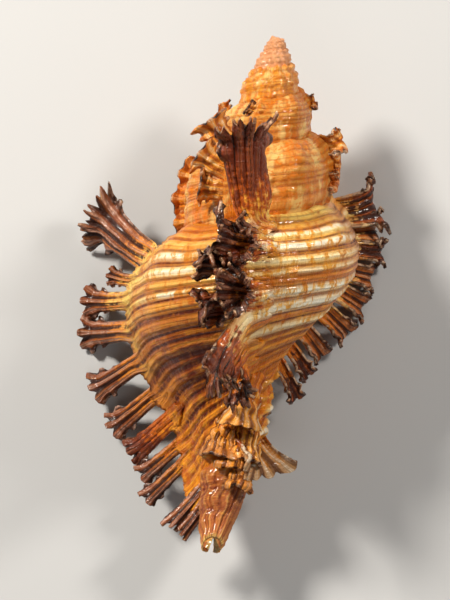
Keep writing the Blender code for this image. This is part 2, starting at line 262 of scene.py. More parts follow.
def relief(turn, level):
    # height of the shell's surface over the smooth coil
    s = surface
    rib = ribShare(turn)
    older = ease(turn, -352, -384)
    young = ease(turn, -820, -1050)
    uneven = 0.85 + 0.35 * waves(turn, level, 14, 24, 14)
    raised = sum(height * bump(level, at, wide) for at, height, wide, *_ in cords)
    raised = raised * (0.95 - 0.45 * rib**2) * uneven * (1 - 0.3 * older)
    threads = np.cos(level * fullWave / s["threadSpacing"] + 0.8 * waves(turn, level, 8, 40, 9))
    swell = s["swellHeight"] * waves(turn, level, 3, 26, 60)
    growthLines = np.sin(turn * fullWave / s["growthLineTurns"] + 0.5 * np.sin(level))
    base = np.clip((level - 46) / 8, 0, 1)
    ribTop = (ribs["height"] + ribs["baseExtra"] * base) * rib * (0.80 + 0.34 * frondNear(turn, level))
    node = ribs["nodeHeight"] * nodeShare(turn) * (0.35 + bump(level, 35.2, 4.5))
    fuller = older * (s["olderFill"] + s["youngFill"] * young) * ease(level, 42, 50.5)
    fuller = fuller + s["youngShoulder"] * young * ease(level, 34, 31)
    beadRows = 0.35 + 0.65 * np.cos(level * math.pi / s["beadRows"]) ** 2
    beads = (0.5 + 0.5 * np.cos(turn * fullWave / s["beadTurns"] + 0.25 * level)) ** 1.5 * beadRows
    knotRows = bump(np.mod(level - 1, s["knotRows"]), s["knotRows"] / 2, 0.9)
    knots = older * (1 - young) * np.sin(turn * fullWave / s["knotTurns"]) * knotRows
    fine = s["threadHeight"] * threads + swell + s["growthLineHeight"] * growthLines
    return raised + fine + ribTop + node + fuller + young * s["beadHeight"] * beads + s["knotHeight"] * knots


def reliefFade(t):
    ramp = np.clip(t - rampSpan, 0, 1) ** 1.5
    foot = np.clip(1.4 - (t - outerSpan), 0, 1)
    return np.where(t > rampSpan, ramp, np.where(t > outerSpan, foot, 1.0))


def raisedOutline(turn, t):
    return outlineAt(t) + outlineOut(t) * (relief(turn, levelAt(t)) * reliefFade(t))[..., None]


def onShell(turn, t):
    point = raisedOutline(turn, t)
    return onCoil(turn, point[..., 0], point[..., 1])


# mesh helpers
def meshOf(name, shape):
    mesh = bpy.data.meshes.new(name)
    shape.to_mesh(mesh)
    shape.free()
    return mesh


def addObject(name, data):
    made = bpy.data.objects.new(name, data)
    bpy.context.scene.collection.objects.link(made)
    return made


def sheets(rows, columns, count=1):
    # flat grids numbered by z, to be shaped: x runs 0 to 1 along, y runs -1 to 1 across
    shape = bmesh.new()
    bmesh.ops.create_grid(shape, x_segments=rows, y_segments=columns, size=1)
    fromZero = Matrix.Translation((0.5, 0, 0)) @ Matrix.Diagonal((0.5, 1, 1, 1))
    bmesh.ops.transform(shape, verts=shape.verts, matrix=fromZero)
    first = list(shape.verts) + list(shape.edges) + list(shape.faces)
    for number in range(1, count):
        copied = bmesh.ops.duplicate(shape, geom=first)["geom"]
        moved = [item for item in copied if isinstance(item, bmesh.types.BMVert)]
        bmesh.ops.translate(shape, verts=moved, vec=(0, 0, number))
    mesh = meshOf("sheet", shape)
    flat = spotsOf(mesh)
    return mesh, flat[:, 0], flat[:, 1], np.rint(flat[:, 2]).astype(int)


def spotsOf(mesh):
    flat = np.zeros(len(mesh.vertices) * 3)
    mesh.vertices.foreach_get("co", flat)
    return flat.reshape(-1, 3)


def place(mesh, points):
    mesh.vertices.foreach_set("co", (points * mm).ravel())
    mesh.update()


def addValues(mesh, values):
    for name, numbers in values.items():
        layer = mesh.attributes.get(name) or mesh.attributes.new(name, "FLOAT", "POINT")
        filled = np.broadcast_to(numbers, len(mesh.vertices))
        layer.data.foreach_set("value", np.ascontiguousarray(filled, dtype=np.float32))


def tidyMesh(mesh, weld, fillEnds=False):
    shape = bmesh.new()
    shape.from_mesh(mesh)
    if weld:
        bmesh.ops.remove_doubles(shape, verts=shape.verts, dist=weld * mm)
    if fillEnds:
        rims = [edge for edge in shape.edges if edge.is_boundary]
        bmesh.ops.holes_fill(shape, edges=rims, sides=0)
    bmesh.ops.recalc_face_normals(shape, faces=shape.faces)
    for face in shape.faces:
        face.smooth = True
    shape.to_mesh(mesh)
    shape.free()


def addPiece(name, mesh, materials, wall=None):
    # the materials are those of the outside, the inside and the rim
    mesh.name = name
    mesh.transform(lieDown)
    piece = addObject(name, mesh)
    for material in materials:
        mesh.materials.append(material)
    if wall:
        skin = piece.modifiers.new("wall", "SOLIDIFY")
        skin.thickness = wall * mm
        skin.offset = -1
        skin.use_even_offset = False
        skin.material_offset = 1 if len(materials) > 1 else 0
        skin.material_offset_rim = 2 if len(materials) > 2 else 0
    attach(piece, "root")
    print(name, len(mesh.polygons), "faces")
    return piece


# materials
def tone(red, green, blue):
    channels = [v / 255 for v in (red, green, blue)]
    return (*[v / 12.92 if v <= 0.04045 else ((v + 0.055) / 1.055) ** 2.4 for v in channels], 1)


class Nodes:
    def __init__(self, name):
        self.material = bpy.data.materials.new(name)
        self.material.use_nodes = True
        self.tree = self.material.node_tree
        self.surface = self.tree.nodes["Principled BSDF"]

    def add(self, kind, **settings):
        node = self.tree.nodes.new(kind)
        for key, value in settings.items():
            setattr(node, key, value)
        return node

    def link(self, source, target):
        if isinstance(source, (int, float, tuple)):
            target.default_value = source
        else:
            self.tree.links.new(source, target)

    def value(self, name):
        return self.add("ShaderNodeAttribute", attribute_name=name).outputs["Fac"]

    def calc(self, operation, first, second=0.0, clamp=False):
        node = self.add("ShaderNodeMath", operation=operation, use_clamp=clamp)
        self.link(first, node.inputs[0])
        self.link(second, node.inputs[1])
        return node.outputs[0]

    def plus(self, *sources):
        total = sources[0]
        for source in sources[1:]:
            total = self.calc("ADD", total, source)
        return total

    def times(self, first, second):
        # product held between 0 and 1
        return self.calc("MULTIPLY", first, second, True)

    def spot(self, x, y, z=0.0):
        node = self.add("ShaderNodeCombineXYZ")
        for source, target in zip((x, y, z), node.inputs):
            self.link(source, target)
        return node.outputs[0]

    def noise(self, vector, scale, detail=3.0, rough=0.55, warp=0.0):
        node = self.add("ShaderNodeTexNoise")
        self.link(vector, node.inputs["Vector"])
        node.inputs["Scale"].default_value = scale
        node.inputs["Detail"].default_value = detail
        node.inputs["Roughness"].default_value = rough
        node.inputs["Distortion"].default_value = warp
        return node.outputs["Fac"]

    def stretched(self, vector, alongScale, levelScale, detail, rough, warp=0.0):
        # noise with its own scale along the whorl and across it
        node = self.add("ShaderNodeMapping")
        self.link(vector, node.inputs["Vector"])
        node.inputs["Scale"].default_value = (alongScale, levelScale, 1)
        return self.noise(node.outputs[0], 1.0, detail, rough, warp)

    def span(self, source, low, high, outLow=0.0, outHigh=1.0):
        node = self.add("ShaderNodeMapRange", interpolation_type="SMOOTHSTEP")
        self.link(source, node.inputs["Value"])
        ends = {"From Min": low, "From Max": high, "To Min": outLow, "To Max": outHigh}
        for key, number in ends.items():
            node.inputs[key].default_value = number
        return node.outputs["Result"]

    def mix(self, share, first, second):
        node = self.add("ShaderNodeMix", data_type="RGBA")
        self.link(share, node.inputs[0])
        self.link(first, node.inputs[6])
        self.link(second, node.inputs[7])
        return node.outputs[2]

    def finish(self, colour, roughness, height, depth, coat, coatRough):
        self.link(colour, self.surface.inputs["Base Color"])
        self.link(roughness, self.surface.inputs["Roughness"])
        bumps = self.add("ShaderNodeBump")
        bumps.inputs["Strength"].default_value = 0.6
        bumps.inputs["Distance"].default_value = depth * mm
        self.link(height, bumps.inputs["Height"])
        self.link(bumps.outputs[0], self.surface.inputs["Normal"])
        self.surface.inputs["Specular IOR Level"].default_value = 0.25
        self.surface.inputs["Coat Weight"].default_value = coat
        self.surface.inputs["Coat Roughness"].default_value = coatRough
        return self.material


def shellColour(n):
    # colour of the whorls, and the fine growth lamellae that stand up on them
    run = n.spot(n.calc("MULTIPLY", n.value("turn"), 0.3), n.value("level"))
    streaks = n.stretched(run, 0.22, 1.6, 4, 0.6)
    growthBands = n.stretched(run, 0.62, 0.30, 5, 0.7, 0.9)
    patches = n.stretched(run, 0.30, 0.55, 3, 0.6)
    speckle = n.stretched(run, 2.2, 2.6, 3, 0.7)
    threads = n.stretched(run, 0.12, 5.2, 2, 0.6, 0.3)
    axial = n.stretched(run, 0.16, 0.07, 3, 0.6)
    blotch = n.stretched(run, 0.35, 0.5, 4, 0.7, 0.8)
    stain = n.times(n.span(growthBands, 0.42, 0.30), n.span(blotch, 0.40, 0.60, 0.0, 0.6))

    def broken(name, noise, *ends):
        # the places an attribute gives, broken up by a noise
        return n.times(n.value(name), n.span(noise, *ends))

    layers = (
        (n.span(patches, 0.35, 0.65), (246, 152, 16)),  # gold
        (n.span(streaks, 0.48, 0.75), (250, 178, 48)),
        (broken("amber", patches, 0.36, 0.62), (184, 78, 2)),
        (n.span(threads, 0.54, 0.66, 0.0, 0.40), (150, 62, 3)),
        (broken("pale", growthBands, 0.34, 0.56, 0.18, 1.05), (255, 214, 112)),  # the cords, in blocks
        (broken("white", growthBands, 0.42, 0.54), (255, 246, 224)),
        (broken("older", axial, 0.50, 0.62, 0.0, 0.75), (252, 212, 128)),  # cream of the older whorls
        (broken("older", blotch, 0.46, 0.62, 0.0, 0.85), (230, 122, 4)),  # and their rust
        (n.calc("SUBTRACT", stain, n.value("older"), True), (176, 84, 6)),
        (broken("pink", speckle, 0.3, 0.6, 0.45, 1.0), (236, 166, 120)),
        # burnt colour and dark lines, which also carry painted shade
        (broken("burnAndShade", streaks, 0.30, 0.62, 1.2, 0.35), (116, 38, 1)),
        (broken("lineAndShade", growthBands, 0.32, 0.60, 0.45, 1.25), (92, 26, 1)),
    )
    colour = tone(196, 92, 3)
    for share, rgb in layers:
        colour = n.mix(share, colour, tone(*rgb))
    return colour, n.stretched(run, 3.8, 0.22, 3, 0.75), speckle, threads


def whorlMaterial():
    n = Nodes("amberAndCreamShell")
    colour, lamella, speckle, threads = shellColour(n)
    inside = n.mix(n.span(speckle, 0.3, 0.7), tone(240, 212, 178), tone(248, 232, 208))
    colour = n.mix(n.value("inside"), colour, inside)
    height = n.plus(lamella, n.calc("MULTIPLY", threads, 0.6), n.calc("MULTIPLY", speckle, 0.35))
    outsideOnly = n.calc("SUBTRACT", 1.0, n.value("inside"), True)
    rough = n.span(n.plus(lamella, speckle), 0.7, 1.3, 0.30, 0.50)
    return n.finish(colour, rough, n.calc("MULTIPLY", height, outsideOnly), 0.6, 0.34, 0.10)


def frondMaterial(name, root, body, tip, ridge, highlightShare, grooveShadeTone):
    # the shell's own colour at the root, then darker to the tip, with a painted highlight on the ridges and
    # edges and painted shade in the grooves
    root, body, tip, ridge, grooveShadeTone = (tone(*rgb) for rgb in (root, body, tip, ridge, grooveShadeTone))
    n = Nodes(name)
    ground = shellColour(n)[0]
    along, crest, across, shift = (n.value(key) for key in ("along", "crest", "across", "shift"))
    inPlace = n.add("ShaderNodeTexCoord").outputs["Object"]
    mottled = n.noise(inPlace, 900, 4, 0.6)
    fine = n.noise(inPlace, 3200, 3, 0.6)
    fibreRun = n.spot(n.calc("MULTIPLY", along, 3.0), n.calc("MULTIPLY", across, 16.0), shift)
    fibres = n.noise(fibreRun, 1.0, 3, 0.65)
    rings = n.noise(n.spot(n.calc("MULTIPLY", along, 34.0), across, shift), 1.0, 2, 0.6)
    later = n.plus(n.calc("MULTIPLY", n.value("scorch"), 0.2), n.value("late"))
    uneven = n.span(mottled, 0.3, 0.7, -0.16, 0.16)
    rise = n.plus(along, uneven, later, n.span(fibres, 0.3, 0.7, -0.12, 0.12))
    colour = n.mix(n.span(rise, 0.50, 0.78), root, body)
    colour = n.mix(n.span(rise, 0.85, 1.25), colour, tip)
    colour = n.mix(n.span(fibres, 0.50, 0.72, 0.0, 0.55), colour, root)
    # painted shade in the grooves between the digits, stronger out along the frond
    grooveShade = n.times(n.span(crest, 0.66, 0.10), n.span(rise, 0.25, 0.5, 0.3, 0.95))
    colour = n.mix(grooveShade, colour, grooveShadeTone)
    # painted highlight along the ridge crests, broken into rings and fibres
    ringed = n.calc("MULTIPLY", n.span(rings, 0.35, 0.6, 0.4, 1.0), highlightShare)
    ridgeHighlight = n.times(n.span(crest, 0.62, 0.97), n.span(fibres, 0.42, 0.58, 0.1, 1.0))
    colour = n.mix(n.times(ridgeHighlight, ringed), colour, ridge)
    # painted highlight along the edges of the frond
    edgeHighlight = n.times(n.span(n.value("edge"), 0.90, 1.0), n.span(mottled, 0.42, 0.6, 0.0, 0.75))
    colour = n.mix(edgeHighlight, colour, ridge)
    colour = n.mix(n.span(rise, 0.36, 0.56), ground, colour)
    streaked = n.plus(n.calc("MULTIPLY", fibres, 1.5), rings)
    height = n.plus(n.calc("MULTIPLY", mottled, 0.6), streaked, n.calc("MULTIPLY", fine, 0.5))
    return n.finish(colour, n.span(fine, 0.35, 0.65, 0.28, 0.50), height, 0.4, 0.3, 0.12)


# tones of the root, the body, the tip and the painted highlight on the ridges, how much of that highlight,
# and the painted shade of the grooves
darkGrooveShade = (44, 13, 3)
goldenGrooveShade = (176, 84, 10)
frondTones = {
    "leftFrondBack": ((226, 132, 24), (132, 64, 24), (98, 50, 24), (196, 152, 130), 0.95, darkGrooveShade),
    "leftFrondHollow": ((196, 96, 14), (104, 38, 8), (74, 28, 8), (166, 110, 80), 0.4, darkGrooveShade),
    "scorchedFrondBack": ((206, 108, 18), (80, 27, 6), (42, 14, 5), (164, 116, 92), 0.8, darkGrooveShade),
    "scorchedFrondHollow": ((190, 84, 10), (108, 38, 6), (50, 16, 5), (150, 92, 60), 0.5, darkGrooveShade),
    "rightFrondBack": ((222, 120, 22), (162, 84, 28), (124, 64, 28), (214, 162, 124), 0.85, darkGrooveShade),
    "rightFrondHollow": ((204, 98, 12), (150, 62, 10), (100, 42, 10), (200, 138, 94), 0.4, darkGrooveShade),
    "spireFrondBack": ((244, 160, 40), (238, 148, 44), (230, 150, 84), (255, 220, 164), 0.9, goldenGrooveShade),
    "spireFrondHollow": ((230, 132, 20), (214, 112, 22), (214, 140, 74), (244, 206, 150), 0.5, goldenGrooveShade),
    "frondRim": ((232, 166, 78), (148, 92, 56), (126, 80, 54), (214, 176, 142), 0.8, darkGrooveShade),
    "oldCanal": ((214, 138, 50), (190, 142, 94), (196, 168, 132), (230, 208, 178), 0.9, (110, 66, 34)),
    "neckScale": ((240, 158, 34), (214, 138, 50), (170, 108, 56), (246, 214, 164), 0.7, (128, 68, 20)),
    "neckScaleHollow": ((228, 142, 34), (176, 104, 40), (140, 84, 44), (226, 184, 134), 0.6, (110, 58, 22)),
}
shellSkin = whorlMaterial()
frondSkins = {name: frondMaterial(name, *tones) for name, tones in frondTones.items()}
print("materials made")


def skinsOf(back, hollow):
    return [frondSkins[name] for name in (back, hollow, "frondRim")]


leftSkins = skinsOf("leftFrondBack", "leftFrondHollow")
scorchedSkins = skinsOf("scorchedFrondBack", "scorchedFrondHollow")
rightSkins = skinsOf("rightFrondBack", "rightFrondHollow")
spireSkins = skinsOf("spireFrondBack", "spireFrondHollow")
neckSkins = skinsOf("neckScale", "neckScaleHollow")

# level, half width and strength of the white bands right of the middle rib, and of the painted glints on the
# cords left of it
whiteRight = (
    (34.6, 0.4, 0.8), (36.6, 0.5, 1.0), (38.95, 0.5, 0.5), (40.8, 0.4, 0.5), (44.1, 0.75, 1.0),
    (46.6, 0.9, 1.0), (50.2, 0.7, 0.6),
)
glintsLeft = ((36.6, 0.5, 0.9), (38.95, 0.5, 0.9), (42.3, 0.4, 0.9))


def bands(level, rows):
    return sum(share * bump(level, at, wide) for at, wide, share in rows)


def shellLooks(turn, level):
    # how pale, dark, burnt and pink the surface is, from where it lies on the coil, with painted shade in the
    # grooves and beside a rib, and painted glints left of the middle rib
    right = ease(turn, -97, -100) * ease(turn, -236, -222)
    left = ease(turn, -100, -97) * ease(turn, 2, 0)
    rest = 1 - np.clip(right + left, 0, 1)
    older = ease(turn, -330, -380)
    young = ease(turn, -960, -1120)
    rib = ribShare(turn)
    frontStrip = left * bump(turn, -92.5, 4.5)

    pale = 0
    for at, _, wide, paleRight, paleLeft in cords:
        shade = paleRight * right + paleLeft * left + 0.45 * (paleRight + paleLeft) * rest
        pale = pale + shade * bump(level, at, wide * 1.05)
    pale = pale + ease(level, 33.2, 31.5) * (right + 0.4 * rest)
    pale = pale + 0.75 * bump(turn, -10, 8) * left * ease(level, 58, 38)
    pale = pale * (1 - 0.5 * older) * (1 - 0.6 * ease(level, 50, 56))
    pale = pale + 0.55 * frontStrip * ease(level, 60, 45)

    # dark lines between the cords, partly the shell's own colour and partly painted shade in the grooves
    lineAndShade = 0
    for at, wide, darkRight, darkLeft in grooves:
        shade = 0.86 * darkRight * right + darkLeft * left
        shade = shade + 0.42 * (darkRight + darkLeft) * rest * (1 - 0.55 * older)
        lineAndShade = lineAndShade + shade * bump(level, at, wide * (1 + 0.35 * left * ease(level, 43, 50)))
    redLines = bump(turn, -198, 16) * ease(level, 46, 38) * (0.5 + 0.5 * np.cos(level * fullWave / 1.1))
    lineAndShade = lineAndShade * (1 - 0.75 * frontStrip) + 0.75 * right * redLines
    lineAndShade = lineAndShade * (1 - 0.35 * rib) * (1 - 0.85 * young)

    burnAndShade = 0.95 * left * ease(level, 45, 50) * ease(level, 59, 54) * bump(turn, -60, 24)
    burnAndShade = burnAndShade + 0.22 * left * ease(level, 42, 46) * ease(level, 58, 53) * (1 - frontStrip)
    # painted shade on the whorl beside the rib at -220 degrees
    shadeBesideRib = bump(turn, -207, 15) * ease(level, 52, 44) * ease(level, 33, 36) * (1 - 0.6 * rib)
    burnAndShade = burnAndShade + 0.55 * right * shadeBesideRib

    # white bands right of the middle rib, painted glints on the cords left of it
    white = right * bands(level, whiteRight) + left * bump(turn, -62, 18) * bands(level, glintsLeft)
    white = white * (1 - 0.75 * rib)
    pink = right * bump(turn, -194, 20) * ease(level, 47, 39) + 0.95 * ease(turn, -1150, -1420)
    amber = 0.9 * right * bump(level, 42.4, 1.0) + 0.6 * right * ease(level, 50, 54)
    amber = amber + 0.5 * left * ease(level, 57, 52) + 0.75 * older * (1 - young)
    shares = {"pale": pale, "lineAndShade": lineAndShade, "burnAndShade": burnAndShade, "white": white, "pink": pink, "amber": amber}
    held = {name: np.clip(share, 0, 1) for name, share in shares.items()}
    return dict(held, turn=turn, level=level, older=older)


# body whorl, with the lip, the hollow behind it and the smooth inside
bodyWhorl = {
    "firstTurn": -436,
    "rings": 292,
    "outerSamples": 232,
    "hiddenSamples": 14,
    "rampSamples": 34,
    "lipRows": 12,
    "lipSwell": 1.6,
    "lipTuck": 5.5,
    "lipGutter": 1.8,
    "gutterSpacing": 2.0,
    "insideRows": 46,
    "insideTurns": 165,
    "mouth": (
        (12.4, 34.2), (15.0, 36.6), (16.6, 40.4), (16.1, 44.2), (13.6, 48.0), (10.2, 51.4),
        (7.7, 53.6), (6.2, 54.2), (5.6, 52.0), (6.0, 47.0), (7.4, 41.0), (9.8, 36.0),
    ),
    "mouthCentre": (10.8, 44.0),
}
weldGap = 0.0005


def profileSpans(s):
    return np.concatenate([
        np.linspace(0, outerSpan, s["outerSamples"], endpoint=False),
        np.linspace(outerSpan, rampSpan, s["hiddenSamples"], endpoint=False),
        np.linspace(rampSpan, rampSpan + 1, s["rampSamples"] + 1),
    ])


def mouthAt(t):
    # the mouth's outline point that lies in the same direction as the lip's outline point
    centre = np.array(bodyWhorl["mouthCentre"])
    loop = throughPoints(np.array(bodyWhorl["mouth"]), np.linspace(0, 12, 720, endpoint=False)) - centre
    ways = np.arctan2(loop[:, 1], loop[:, 0])
    order = np.argsort(ways)
    aim = unit(outlineAt(t) - centre)
    aimWay = np.arctan2(aim[:, 1], aim[:, 0])
    reach = np.interp(aimWay, ways[order], np.hypot(*loop[order].T), period=2 * math.pi)
    return centre + aim * reach[:, None]


def makeBodyWhorl():
    s = bodyWhorl
    spans = profileSpans(s)
    rowCount = s["rings"] + s["lipRows"] + s["insideRows"]
    mesh, along, across, _ = sheets(rowCount - 1, len(spans) - 1)
    row = np.rint(along * (rowCount - 1)).astype(int)
    t = spans[np.rint((across + 1) / 2 * (len(spans) - 1)).astype(int)]
    turn = s["firstTurn"] + np.minimum(row, s["rings"] - 1) * (-s["firstTurn"] / (s["rings"] - 1))
    points = onShell(turn, t)
    inside = np.zeros(len(row))

    # from the edge of the lip in to the mouth
    lip = (row >= s["rings"]) & (row < s["rings"] + s["lipRows"])
    share = (row[lip] - s["rings"] + 1) / (s["lipRows"] + 1)
    outer = raisedOutline(0.0 * t[lip], t[lip])
    spot = outer + (mouthAt(t[lip]) - outer) * share[:, None]
    forward = s["lipSwell"] * np.sin(math.pi * share) - s["lipTuck"] * share**2.2
    gutters = bump(share, 0.35, 0.35) * (0.5 + 0.5 * np.cos(levelAt(t[lip]) * fullWave / s["gutterSpacing"]))
    points[lip] = onCoil(forward - s["lipGutter"] * gutters, spot[:, 0], spot[:, 1])
    inside[lip] = ease(share, 0.35, 0.8)

    # from the mouth back into the whorl, where it closes
    hollow = row >= s["rings"] + s["lipRows"]
    share = (row[hollow] - s["rings"] - s["lipRows"]) / (s["insideRows"] - 1)
    closing = np.sqrt(np.clip(1 - share**6, 0.0006, 1))
    centre = np.array(s["mouthCentre"])
    spot = centre + (mouthAt(t[hollow]) - centre) * closing[:, None]
    turnBack = s["lipTuck"] + (s["insideTurns"] - s["lipTuck"]) * share
    points[hollow] = onCoil(-turnBack, spot[:, 0], spot[:, 1])
    inside[hollow] = 1

    place(mesh, points)
    addValues(mesh, dict(shellLooks(turn, levelAt(t)), inside=inside))
    tidyMesh(mesh, weldGap, True)
    return addPiece("bodyWhorl", mesh, [shellSkin])


body = makeBodyWhorl()
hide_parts("murex_shell")

# spire
spire = {
    "firstTurn": -2160,
    "lastTurn": -436,
    "rings": 380,
    "crowding": 0.85,  # under 1 gives the larger whorls more of the rings
    "outerSamples": 120,
    "hiddenSamples": 8,
    "rampSamples": 22,
}


def makeSpire():
    s = spire
    spans = profileSpans(s)
    mesh, along, across, _ = sheets(s["rings"] - 1, len(spans) - 1)
    t = spans[np.rint((across + 1) / 2 * (len(spans) - 1)).astype(int)]
    turn = s["firstTurn"] + (s["lastTurn"] - s["firstTurn"]) * along ** s["crowding"]
    place(mesh, onShell(turn, t))
    addValues(mesh, dict(shellLooks(turn, levelAt(t)), inside=0))
    tidyMesh(mesh, weldGap, True)
    return addPiece("spire", mesh, [shellSkin])


def makeApex():
    shape = bmesh.new()
    bmesh.ops.create_uvsphere(shape, u_segments=40, v_segments=24, radius=1.04)
    bmesh.ops.translate(shape, verts=shape.verts, vec=(0, -1.05, 0))
    mesh = meshOf("apex", shape)
    spots = spotsOf(mesh)
    place(mesh, spots)
    plain = dict.fromkeys(("lineAndShade", "burnAndShade", "white", "amber", "inside", "older"), 0)
    addValues(mesh, dict(plain, turn=-1800 + spots[:, 0] * 60, level=40 + 6 * spots[:, 2], pink=1, pale=0.4))
    tidyMesh(mesh, 0)
    return addPiece("apex", mesh, [shellSkin])


makeSpire()
makeApex()
print("whorls made")

# fronds
frondShape = {
    "rows": 84,
    "columns": 40,
    "wall": 0.46,
    "rootTurns": 16.0,  # how far behind the rib the root starts
    "rootShare": 0.36,  # share of the frond that is root
    "depth": 0.5,  # depth of the gutter over its half width
    "ridge": 0.30,  # height of the ridge along each digit over the digit's width
    "scales": 13,
    "scaleHeight": 0.08,
    "crumple": 0.12,
    "sweep": 0.0,
    "slit": 0.10,  # how far the digits are parted at the tip
    "ownLength": 0.07,  # how much shorter a digit may be
    "curl": 0.55,
    "spread": 0.10,
    "lobes": 6.0,  # lobes along each edge
    "lobeReach": 0.10,
    "lobeFrom": 0.72,
    "frill": 0.0,  # small points at the end of each digit
    "frillsPerDigit": 2.6,
    "knob": 0.0,
}


def partDigits(across, digits, which, dice):
    # the digit that each column belongs to, 1 on its crest and 0 beside it, and its own chance
    digit = np.clip(np.floor((across + 1) / 2 * digits), 0, digits - 1)
    crest = 0.5 - 0.5 * np.cos(math.pi * digits * (across + 1))
    return digit, crest, dice[which, digit.astype(int)]


def guideCurve(p0, p1, p2, p3, a):
    # a smooth path from the first point to the last, and the way it runs
    u, v = (1 - a)[:, None], a[:, None]
    path = p0 * u**3 + p1 * 3 * u * u * v + p2 * 3 * u * v * v + p3 * v**3
    return path, unit((p1 - p0) * u * u + (p2 - p1) * 2 * u * v + (p3 - p2) * v * v)


def sideAndBack(run, way):
    side = unit(way - run * np.sum(run * way, -1)[:, None])
    return side, np.cross(run, side)


def halfWidth(width, flare, a):
    return width / 2 * (1.1 - 0.5 * a + (flare - 0.6) * a**2)


def gutterAlong(path, side, back, half, hollow, across):
    # a trough along the path, and the way out of its surface
    points = path + side * (half * across)[:, None] - back * (hollow * across**2)[:, None]
    return points, unit(back * half[:, None] + side * (2 * hollow * across)[:, None])


def frondPath(rib, level, length, tilt, lean, twist, a):
    # from the whorl behind the rib over its crest and out
    azimuth = azimuthOf(rib)
    out = np.stack([np.sin(azimuth), 0 * azimuth, np.cos(azimuth)], -1)
    forward = np.stack([-np.cos(azimuth), 0 * azimuth, np.sin(azimuth)], -1)
    aim = out * np.cos(lean)[:, None] + forward * np.sin(lean)[:, None]
    aim = aim * np.cos(tilt)[:, None] + down * np.sin(tilt)[:, None]
    radius = outlineAt(spanAtLevel(np.clip(level, *levels["grown"])))[:, 0]
    start = onCoil(rib - 15, radius - 0.1, level)
    crest = onCoil(rib - 1, radius + 0.7 * ribs["height"], level)
    bent = crest + aim * (length * 0.6)[:, None]
    path, run = guideCurve(start, crest, bent, crest + aim * length[:, None], a)
    side, back = sideAndBack(run, down)
    side = np.cos(-twist)[:, None] * side + np.sin(-twist)[:, None] * back
    return path, side, np.cross(run, side)


def frondRoot(s, rib, level, width, size, a, across, crest):
    # the root lies on the whorl behind the rib and lifts off at its crest
    spacing = np.clip(width * 0.62, 1.0, 2.2) / size * ease(a, -0.12, 0.32)
    rootLevel = np.clip(level + across * spacing, *levels["rooted"])
    span = spanAtLevel(rootLevel)
    turn = rib - s["rootTurns"] * (1 - np.clip(a / s["rootShare"], 0, 1)) - 0.8
    azimuth = azimuthOf(turn)
    lift = outlineOut(span)
    liftOut = np.stack([lift[:, 0] * np.sin(azimuth), -lift[:, 1], lift[:, 0] * np.cos(azimuth)], -1)
    height = 0.02 + 0.35 * ease(a, 0.0, 0.3) * (1 - across**4)
    height = height + 0.12 * crest * ease(a, 0, 0.2) - 0.25 * ease(a, 0.06, 0.0)
    return onShell(turn, span) + liftOut * height[:, None], turn, rootLevel


